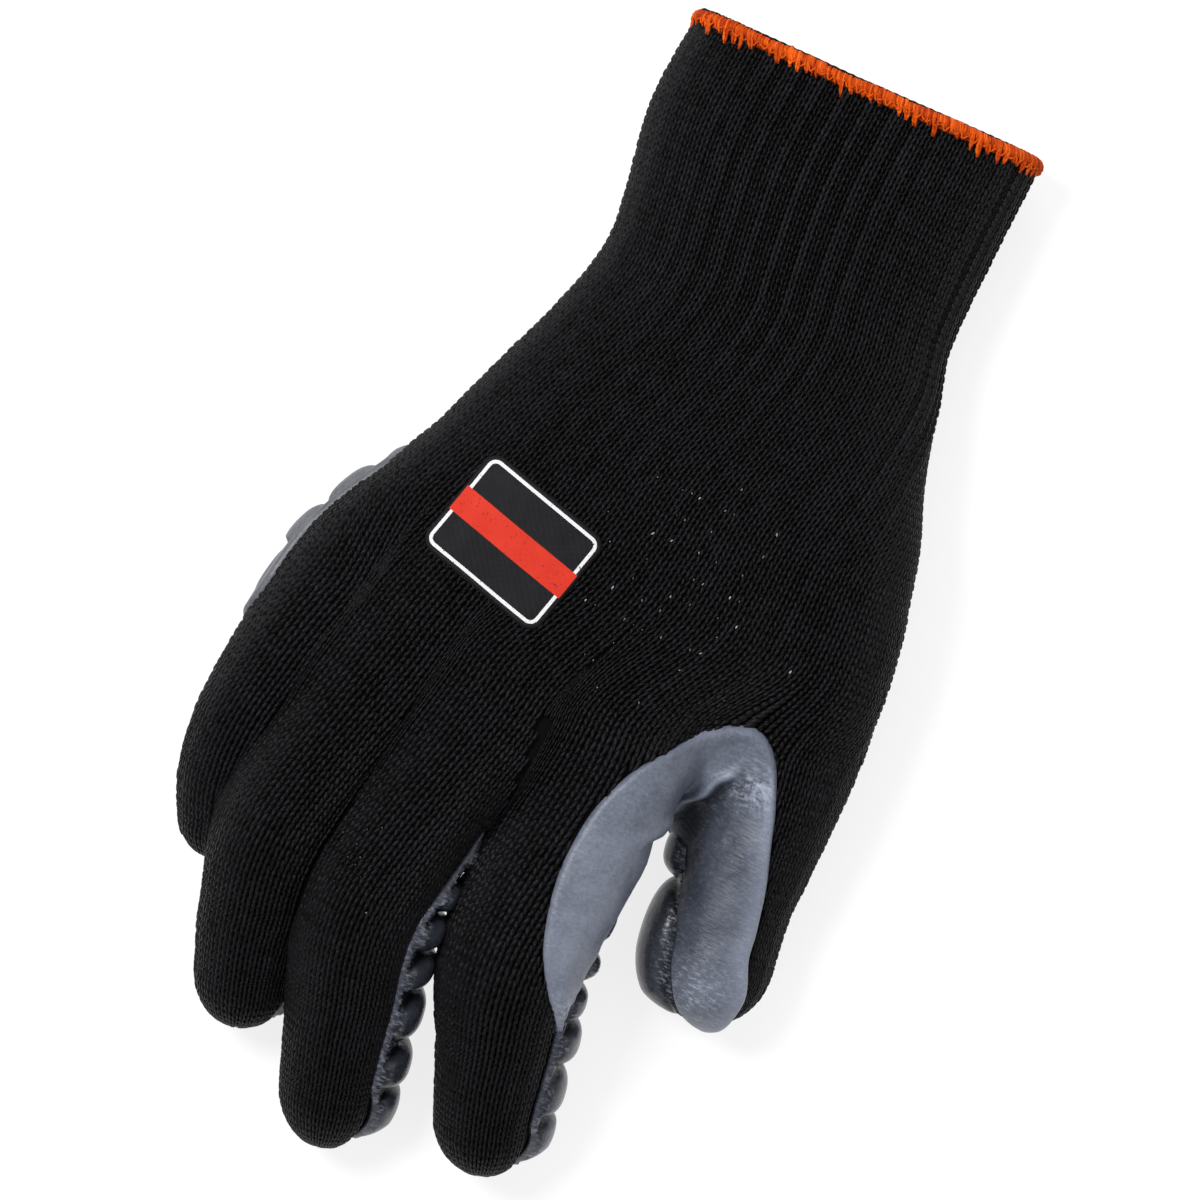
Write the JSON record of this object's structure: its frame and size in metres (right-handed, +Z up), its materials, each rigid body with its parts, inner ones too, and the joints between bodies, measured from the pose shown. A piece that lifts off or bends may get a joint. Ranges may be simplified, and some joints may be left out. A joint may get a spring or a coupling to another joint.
{
  "type": "anti-vibration glove",
  "caption": "Knitted work glove with an overlocked cuff, padded rubber air pods over the palm and fingers and a smooth rubber panel at the thumb crotch, lying palm down.",
  "frame": {"origin": "middle of the glove's footprint, on the surface that it lies on", "axes": "+Y from the cuff towards the fingertips, +Z up out of the back of the hand, the thumb on -X"},
  "size_m": [0.1374, 0.2572, 0.0462],
  "materials": {
    "knit": "matte black knitted yarn",
    "overlock": "matte orange overlock thread",
    "pod_rubber": "satin slate grey moulded rubber",
    "web_rubber": "smooth satin slate grey rubber",
    "patch": "printed satin patch"
  },
  "bodies": {
    "root": {"knit_palm": "knit", "knit_index": "knit", "knit_middle": "knit", "knit_ring": "knit", "knit_pinky": "knit", "knit_thumb": "knit", "cuff_hem": "overlock", "palm_pad": "pod_rubber", "index_pad": "pod_rubber", "middle_pad": "pod_rubber", "ring_pad": "pod_rubber", "pinky_pad": "pod_rubber", "thumb_pad": "pod_rubber", "web_panel": "web_rubber", "label": "patch"}
  },
  "joints": []
}
